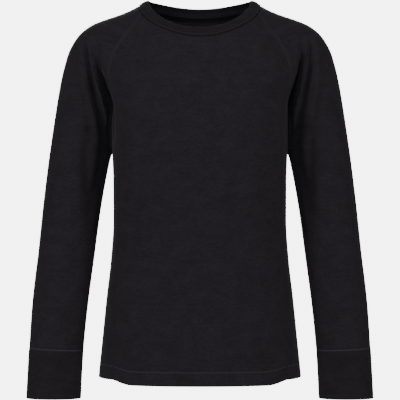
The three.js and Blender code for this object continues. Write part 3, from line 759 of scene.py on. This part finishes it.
def seam_thread(name, rows, pitch, thread_colour, cover_share, shade=THREAD_SHADE):
    """Sewing thread: needle rows along the seam, with cover threads that cross between them."""
    finish = Finish(name, 0.8, 0.03, 0.5)
    across, along = finish.across_and_along()
    noise = finish.noise(across, along, 1.2, 0.5, 2.2, 2.0)
    row = None
    for place in rows:
        line = abs(along - place).rise(0.75, 0.25)
        row = line if row is None else row.at_least(line)
    stitch = abs((across / pitch).part() - 0.5).rise(0.47, 0.33)
    cover = abs(((across + along * 0.5) / (pitch * 0.5)).part() - 0.5).rise(0.42, 0.2)
    thread = (row * stitch).at_least(cover * cover_share) * (0.72 + noise * 0.5)
    # Between the threads the cloth takes the shade colour: its own colour darkened as painted shade
    colour = finish.mix(thread.at_most(1.0), shade, thread_colour)
    # The wrong side of the thread is darkened with painted shade, as the inside of the top lies in shade
    finish.connect("Base Color", finish.mix(finish.reverse(), colour, PAINTED_INSIDE_SHADE_THREAD))
    finish.connect("Roughness", 0.66 + noise * 0.14)
    finish.connect("Normal", finish.raised(thread * 0.3 + noise * 0.1, 0.5))
    return finish.material


SINGLE_JERSEY = jersey("single_jersey", DARK_YARN, PALE_YARN)
CUFF_JERSEY = jersey("cuff_double_jersey", CUFF_DARK, CUFF_PALE)
NECK_JERSEY = jersey("neckband_double_jersey", BAND_DARK, BAND_PALE, rows=(2.5,))
FLATLOCK = seam_thread("flatlock_thread", (-1.9, 1.9), 2.4, THREAD, 0.5)
SIDE_FLATLOCK = seam_thread("side_flatlock_thread", (-1.9, 1.9), 2.4, SIDE_THREAD, 0.3)
# An almost black strip in the gap under the neckband: painted shadow of the groove, on both faces
NECK_GROOVE_PAINTED_SHADOW = seam_thread("neck_groove_painted_shadow", (-3.0, 3.0), 2.4, GROOVE_SHADE, 0.3, GROOVE_SHADE)
CUFF_THREAD = seam_thread("cuff_seam_thread", (-0.7, 0.7), 2.2, PALE_THREAD, 0.7)
COVERSTITCH = seam_thread("coverstitch_thread", (-0.1, 0.1), 2.8, PALE_THREAD, 0.3)


# Making pieces

def new_piece(name, points, faces, cloth_places, reverse, material):
    """A piece from points in millimetres, faces, the cloth's own place of each face corner, and which points
    lie on its wrong side, which takes painted shade."""
    mesh = bpy.data.meshes.new(name)
    mesh.from_pydata((points * MM).tolist(), [], faces)
    mesh.update()
    cloth = mesh.uv_layers.new(name="cloth")
    cloth.data.foreach_set("uv", (np.asarray(cloth_places, np.float64) * MM).astype(np.float32).ravel())
    # Marks the wrong side, which is darkened with painted shade
    side = mesh.attributes.new("reverse", "FLOAT", "POINT")
    side.data.foreach_set("value", np.asarray(reverse, np.float32))
    mesh.materials.append(material)
    piece = bpy.data.objects.new(name, mesh)
    bpy.context.collection.objects.link(piece)
    piece.select_set(True)
    bpy.context.view_layer.objects.active = piece
    bpy.ops.object.shade_smooth_by_angle(angle=math.radians(48))
    piece.select_set(False)
    return piece


def pull_edges(grid, closed, ends, top_gap):
    """Draws a piece's edges back from its seams, within its own surface."""
    def towards(edge, inner, gap=SEAM_GAP):
        run = inner - edge
        return edge + gap * run / np.linalg.norm(run, axis=-1, keepdims=True)

    grid = grid.copy()
    if "bottom" in ends:
        grid[0] = towards(grid[0], grid[1])
    if "top" in ends:
        grid[-1] = towards(grid[-1], grid[-2], top_gap)
    if not closed:
        grid[:, 0] = towards(grid[:, 0], grid[:, 1])
        grid[:, -1] = towards(grid[:, -1], grid[:, -2])
    return grid


def cloth_places_of(grid, closed):
    """The flat place of each grid point: along its row from the middle, and up from the first row."""
    wrapped = np.concatenate([grid, grid[:, :1]], axis=1) if closed else grid
    across = np.concatenate([np.zeros((len(grid), 1)),
                             np.cumsum(np.linalg.norm(np.diff(wrapped, axis=1), axis=2), axis=1)], axis=1)
    across -= across.mean(axis=1, keepdims=True)
    along = np.concatenate([np.zeros((1, wrapped.shape[1])),
                            np.cumsum(np.linalg.norm(np.diff(wrapped, axis=0), axis=2), axis=0)], axis=0)
    return np.stack([across, along], axis=2)


ROUND_STEPS = 5


def round_edge(outer, inner, beyond):
    """Rows that carry the outer wall over a rounded edge to the inner wall."""
    middle, half = (outer + inner) / 2, (outer - inner) / 2
    reach = np.linalg.norm(half, axis=1, keepdims=True)
    turn = np.linspace(0, math.pi, ROUND_STEPS + 2)[1:-1]
    return [middle + half * math.cos(t) + beyond * reach * math.sin(t) for t in turn]


def away_from(edge, inner, normal):
    """The direction off a piece's edge, within its surface."""
    run = edge - inner
    run = run - normal * (run * normal).sum(axis=1, keepdims=True)
    return run / np.linalg.norm(run, axis=1, keepdims=True)


def cloth_piece(name, grid, normal, wall, material, closed=False, turned=False, ends=("bottom", "top"),
                rounded=(), top_gap=SEAM_GAP):
    """A closed wall of cloth. The grid is its outer face, and wall is its thickness at each point."""
    places = cloth_places_of(grid, closed)
    grid = pull_edges(grid, closed, ends, top_gap)
    inner = grid - normal * wall[..., None]
    rows, columns = grid.shape[:2]
    levels = [(row, places[i]) for i, row in enumerate(grid)]
    if "top" in rounded:
        beyond = away_from(grid[-1], grid[-2], normal[-1])
        levels += [(row, places[-1]) for row in round_edge(grid[-1], inner[-1], beyond)]
    levels += [(inner[i], places[i]) for i in range(rows - 1, -1, -1)]
    if "bottom" in rounded:
        beyond = away_from(grid[0], grid[1], normal[0])
        levels += [(row, places[0]) for row in round_edge(inner[0], grid[0], beyond)]
    points = np.concatenate([row for row, _ in levels])
    flat = np.stack([place for _, place in levels])
    inner_start = rows + (ROUND_STEPS if "top" in rounded else 0)
    # The inner wall's rows, which take painted shade
    reverse = np.zeros((len(levels), columns))
    reverse[inner_start:inner_start + rows] = 1
    faces, corners = [], []
    count = len(levels)
    last = columns if closed else columns - 1

    def add(*spots):
        spots = spots[::-1] if turned else spots
        faces.append([level * columns + column % columns for level, column in spots])
        corners.extend(flat[level, column] for level, column in spots)

    for level in range(count):
        after = (level + 1) % count
        for column in range(last):
            add((level, column), (level, column + 1), (after, column + 1), (after, column))
    if not closed:
        inner_level = [2 * rows - 1 - row for row in range(rows)]
        for row in range(rows - 1):
            add((row, 0), (row + 1, 0), (inner_level[row + 1], 0), (inner_level[row], 0))
            add((row, columns - 1), (inner_level[row], columns - 1), (inner_level[row + 1], columns - 1),
                (row + 1, columns - 1))
        cap = [*range(inner_level[0], count), 0]
        add(*[(level, 0) for level in cap])
        add(*[(level, columns - 1) for level in reversed(cap)])
    return new_piece(name, points, faces, corners, reverse.ravel(), material)


def strip(name, path, half_width, heights, wall, material, closed=False, inner_heights=None):
    """A narrow band of stitching that lies over a seam on both faces of the cloth.

    path runs along the seam on the form, heights are its outer face's heights from one edge to the other,
    and wall is the cloth's thickness under it."""
    inner_heights = heights if inner_heights is None else inner_heights
    if closed:
        run = np.roll(path, -1, axis=0) - np.roll(path, 1, axis=0)
    else:
        run = np.gradient(path, axis=0)
    run /= np.linalg.norm(run, axis=1, keepdims=True)
    aside = np.cross(out_of_cloth(path), run)
    aside /= np.linalg.norm(aside, axis=1, keepdims=True)
    across = np.linspace(-half_width, half_width, len(heights))
    spread = settle(path[None] + aside[None] * across[:, None, None], steps=3)
    normal = out_of_cloth(spread)
    lift = fold_height(spread, normal)
    outer = spread + normal * (lift + np.asarray(heights)[:, None])[..., None]
    under = spread + normal * (lift - wall - np.asarray(inner_heights)[:, None])[..., None]
    levels = np.concatenate([outer, under[::-1]])
    step = np.linalg.norm(np.diff(path, axis=0), axis=1)
    along = np.concatenate([[0], np.cumsum(step)])
    if closed:
        along = np.append(along, along[-1] + np.linalg.norm(path[0] - path[-1]))
    places = np.concatenate([across, across[::-1]])
    count, columns = levels.shape[:2]
    last = columns if closed else columns - 1
    faces, corners = [], []
    for level in range(count):
        after = (level + 1) % count
        for column in range(last):
            spots = ((level, column), (level, column + 1), (after, column + 1), (after, column))
            faces.append([l * columns + c % columns for l, c in spots])
            corners.extend((along[c], places[l]) for l, c in spots)
    if not closed:
        for column, order in ((0, range(count)), (columns - 1, range(count - 1, -1, -1))):
            faces.append([level * columns + column for level in order])
            corners.extend((along[column], places[level]) for level in order)
    # The under face, which takes painted shade
    reverse = np.repeat(np.arange(count) >= len(outer), columns)
    return new_piece(name, levels.reshape(-1, 3), faces, corners, reverse, material)


def hem_wall(grid):
    """The jersey's thickness, doubled in the turned hem."""
    edge = np.where(np.abs(grid[..., 0]) < SIDE_SEAM[0][0], hem_height(grid[..., 0]), HEM_HEIGHT)
    return HEM_WALL - (HEM_WALL - JERSEY_WALL) * smooth_step(-1, 1, grid[..., 2] - edge - HEM_DEPTH)


pieces = {}
SIDES = {"left": 1, "right": -1}

for name, side, seam, raglan_seam, neck in (
    ("front", FRONT, seam_front, raglan_front, neck_front),
    ("back", BACK, seam_back, raglan_back, neck_back),
):
    base = body_panel(side, seam, raglan_seam, neck)
    grid, normal = on_cloth(base)
    pieces[name] = cloth_piece(name + "_panel", grid, normal, hem_wall(base), SINGLE_JERSEY,
                               turned=side == BACK, ends=("top",), rounded=("bottom",), top_gap=NECK_GAP)

panel_base, sleeve_base, cuff_base = side_panel(), sleeve_grid(), cuff_grid()
for word, sign in SIDES.items():
    def placed(points):
        return points if sign == 1 else mirrored(points)

    base = placed(panel_base)
    grid, normal = on_cloth(base)
    pieces["side_panel_" + word] = cloth_piece("side_panel_cloth_" + word, grid, normal, hem_wall(base),
                                               SINGLE_JERSEY, turned=sign == -1, ends=("top",),
                                               rounded=("bottom",))
    base = placed(sleeve_base)
    grid, normal = on_cloth(base)
    pieces["sleeve_" + word] = cloth_piece("sleeve_cloth_" + word, grid, normal,
                                           np.full(base.shape[:2], JERSEY_WALL), SINGLE_JERSEY,
                                           closed=True, turned=sign == 1)
    base = placed(cuff_base)
    seam_dip = CUFF_DIP * np.exp(-((base[..., 2] - base[-1, :, 2]) / CUFF_DIP_REACH) ** 2)
    grid, normal = on_cloth(base, CUFF_SWELL - seam_dip)
    pieces["cuff_" + word] = cloth_piece("cuff_cloth_" + word, grid, normal,
                                         np.full(base.shape[:2], DOUBLE_WALL), CUFF_JERSEY,
                                         closed=True, turned=sign == 1, ends=("top",), rounded=("bottom",))

# The neckband

turns = np.concatenate([
    np.linspace(-RAGLAN_FRONT_TURN, RAGLAN_FRONT_TURN, PANEL_COLUMNS + 1)[:-1],
    np.linspace(RAGLAN_FRONT_TURN, RAGLAN_BACK_TURN, SHOULDER_COLUMNS + 1)[:-1],
    np.linspace(RAGLAN_BACK_TURN, 360 - RAGLAN_BACK_TURN, PANEL_COLUMNS + 1)[:-1],
    np.linspace(360 - RAGLAN_BACK_TURN, 360 - RAGLAN_FRONT_TURN, SHOULDER_COLUMNS + 1)[:-1],
])
foot = settle(neck_place(NECK_FOOT, turns))
top = neck_place(NECK_TOP, turns)
run = neck_place(NECK_FOOT, turns + 1) - neck_place(NECK_FOOT, turns - 1)
band_normal = np.cross(run, top - foot)
band_normal /= np.linalg.norm(band_normal, axis=1, keepdims=True)
share = (BAND_START + (1 - BAND_START) * np.linspace(0, 1, BAND_ROWS + 1) ** 1.4)[:, None, None]
band_height = np.linalg.norm(top - foot, axis=1)[None, :, None] * share
swell = BAND_SWELL * np.sin(math.pi * share) + BAND_ROLL * smooth_step(*ROLL_HEIGHTS, band_height) - BAND_SINK
for height, reach, rise in ((BAND_ROW, 0.9, 0.18), (BAND_GROOVE, 0.8, -0.45)):
    swell += rise * np.exp(-((band_height - height) / reach) ** 2)
band = foot * (1 - share) + top * share + band_normal * swell
normals = np.broadcast_to(band_normal, band.shape)
pieces["collar"] = cloth_piece("neckband", band, normals, np.full(band.shape[:2], DOUBLE_WALL), NECK_JERSEY,
                               closed=True, ends=("bottom",), rounded=("top",))

# Stitching over the seams

FLATLOCK_HALF = 2.7
FLATLOCK_HEIGHTS = (-0.15, 0.26, 0.42, 0.26, 0.16, 0.14, 0.16, 0.26, 0.42, 0.26, -0.15)
CUFF_SEAM_HALF = 1.4
CUFF_SEAM_HEIGHTS = (-0.10, 0.30, 0.42, 0.30, -0.10)
CUFF_SEAM_WALL = 1.9
SIDE_HEM_POINTS = 40
HEM_ROW_HALF = 1.1
HEM_ROW_HEIGHTS = (-0.10, 0.12, 0.20, 0.12, -0.10)
NECK_SEAM_HALF = 3.4
NECK_SEAM_OUTER = (-0.9, -0.9, -0.9, -0.85, -0.85, -0.85, -0.9, -0.9, -0.9)
NECK_SEAM_INNER = (0.3, 1.2, 0.7, 0.5, 0.5, 0.5, 0.7, 1.3, 0.6)
NECK_ROW_HALF = 0.9
NECK_ROW_HEIGHTS = (-0.10, 0.10, 0.16, 0.10, -0.10)
NECK_ROW_BELOW = 3.9

seams = {}
for word, sign in SIDES.items():
    for where, raglan_seam, seam in (("front", raglan_front, seam_front), ("back", raglan_back, seam_back)):
        for kind, path, owner in (("raglan", raglan_seam, "sleeve_" + word), ("side", seam, where)):
            path = path if sign == 1 else mirrored(path)
            stitched = strip(f"{kind}_seam_{where}_{word}", path, FLATLOCK_HALF, FLATLOCK_HEIGHTS,
                             JERSEY_WALL, FLATLOCK if kind == "raglan" else SIDE_FLATLOCK)
            seams.setdefault(owner, []).append(stitched)
    lower = np.concatenate([armhole_front, armhole_back[:-1][::-1]])
    wrist = sleeve_base[0]
    underarm = sleeve_base[:, SLEEVE_HALF]
    for kind, path in (("armhole", lower), ("underarm", underarm), ("cuff", wrist)):
        path = path if sign == 1 else mirrored(path)
        name = f"{kind}_seam_{word}"
        if kind == "cuff":
            stitched = strip(name, path, CUFF_SEAM_HALF, CUFF_SEAM_HEIGHTS, CUFF_SEAM_WALL, CUFF_THREAD, True)
        else:
            stitched = strip(name, path, FLATLOCK_HALF, FLATLOCK_HEIGHTS, JERSEY_WALL, FLATLOCK)
        seams["sleeve_" + word].append(stitched)

x = SIDE_SEAM[0][0] * np.linspace(-1, 1, PANEL_COLUMNS + 1)
front_row = face_on(x, hem_height(x) + HEM_DEPTH, FRONT)
back_row = face_on(x, hem_height(x) + HEM_DEPTH, BACK)[::-1]
start, end = (math.atan2(point[1], point[0]) for point in (front_row[-1], back_row[0]))
turn = np.linspace(start, end, SIDE_HEM_POINTS)
ring = np.stack([150 * np.cos(turn), 150 * np.sin(turn), np.full(turn.shape, HEM_HEIGHT + HEM_DEPTH)], axis=1)
left_row = settle(ring, torso_field, (0, 1), 16)[1:-1]
hem_path = np.concatenate([front_row, left_row, back_row, mirrored(left_row)[::-1]])
seams["front"].append(strip("hem_stitching", hem_path, HEM_ROW_HALF, HEM_ROW_HEIGHTS, HEM_WALL - 0.3,
                            COVERSTITCH, True))

# The seam under the neckband shows inside, and a row of stitches runs round the cloth below the neckband.
# The seam is coloured almost black: painted shadow in the groove under the neckband, and painted shade inside

seams["collar"] = [strip("neck_seam", foot, NECK_SEAM_HALF, NECK_SEAM_OUTER, JERSEY_WALL, NECK_GROOVE_PAINTED_SHADOW, True,
                         NECK_SEAM_INNER)]
foot_run = np.roll(foot, -1, axis=0) - np.roll(foot, 1, axis=0)
foot_run /= np.linalg.norm(foot_run, axis=1, keepdims=True)
outward = np.cross(foot_run, out_of_cloth(foot))
seams["collar"].append(strip("neck_row", settle(foot + outward * NECK_ROW_BELOW), NECK_ROW_HALF,
                             NECK_ROW_HEIGHTS, JERSEY_WALL - 0.2, SIDE_FLATLOCK, True))

# Each cloth piece takes its node's place. Its cut is width, length and area in metres, all round on a tube.

CUTS = {
    "front": (0.312, 0.570, 0.149),
    "back": (0.312, 0.580, 0.151),
    "side_panel": (0.118, 0.455, 0.0405),
    "sleeve": (0.330, 0.550, 0.1225),
    "cuff": (0.209, 0.076, 0.0157),
    "collar": (0.548, 0.0160, 0.0087),
}
for node, piece in pieces.items():
    kind = node.removesuffix("_left").removesuffix("_right")
    width, length, area = CUTS[kind]
    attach(piece, "root")
    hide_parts(node)
    for stitched in seams.get(node, []):
        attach(stitched, "root")
    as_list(seams.get(node, []))


# Floor, light and camera

def lamp(name, size, power, place, aim):
    """A round soft light in metres and watts, turned towards the place it is aimed at."""
    bpy.ops.object.light_add(type="AREA", location=place)
    light = bpy.context.object
    light.name = name
    light.data.shape = "DISK"
    light.data.size = size
    light.data.energy = power
    run = np.array(aim, float) - np.array(place, float)
    tilt, heading = math.acos(-run[2] / np.linalg.norm(run)), math.atan2(run[1], run[0])
    light.rotation_euler = (tilt, 0, heading - math.pi / 2)
    light.select_set(False)


FLOOR_HEIGHT = -1.22
FLOOR_RADIUS = 4.0
bpy.ops.mesh.primitive_circle_add(vertices=96, radius=FLOOR_RADIUS, fill_type="NGON",
                                  location=(0, 0, FLOOR_HEIGHT))
floor = bpy.context.object
floor.name = "floor"
floor.select_set(False)
pale = bpy.data.materials.new("pale_floor")
pale.use_nodes = True
pale.node_tree.nodes["Principled BSDF"].inputs["Base Color"].default_value = (0.86, 0.86, 0.86, 1)
pale.node_tree.nodes["Principled BSDF"].inputs["Roughness"].default_value = 0.9
floor.data.materials.append(pale)

# A white room: what is seen of it is brighter than the little light that it gives back

WHITE_ROOM = 6.0
ROOM_LIGHT = 0.035
world = bpy.data.worlds.new("studio")
world.use_nodes = True
room = world.node_tree
seen = room.nodes.new("ShaderNodeLightPath")
strength = room.nodes.new("ShaderNodeMapRange")
strength.inputs["To Min"].default_value = ROOM_LIGHT
strength.inputs["To Max"].default_value = WHITE_ROOM
room.links.new(seen.outputs["Is Camera Ray"], strength.inputs["Value"])
room.links.new(strength.outputs["Result"], room.nodes["Background"].inputs["Strength"])
room.nodes["Background"].inputs["Color"].default_value = (1, 1, 1, 1)
bpy.context.scene.world = world

UPPER_CHEST = (0, 0, -0.2)
UPPER_BACK = (0, 0, -0.25)
lamp("soft_light_left", 1.2, 50, (-2.25, -1.95, 1.3), UPPER_CHEST)
lamp("soft_light_right", 1.2, 44.5, (2.25, -1.95, 1.3), UPPER_CHEST)
lamp("soft_light_front", 1.2, 38.5, (-0.3, -3.0, 1.4), UPPER_CHEST)
lamp("soft_light_behind_left", 1.0, 62, (-0.9, 2.9, 1.2), UPPER_BACK)
lamp("soft_light_behind_right", 1.0, 44, (0.7, 3.0, 1.2), UPPER_BACK)

# The camera stands 2.5 m in front, level with the middle of the top, and its frame is 620 mm wide there

CAMERA_PLACE = (0.00023, -2.5, -0.29915)
FRAME_WIDTH = 0.62
bpy.ops.object.camera_add(location=CAMERA_PLACE, rotation=(math.pi / 2, 0, 0))
camera = bpy.context.object
camera.name = "camera"
camera.data.sensor_width = 36
camera.data.lens = camera.data.sensor_width * -CAMERA_PLACE[1] / FRAME_WIDTH
camera.data.dof.use_dof = False
camera.select_set(False)
bpy.context.scene.camera = camera
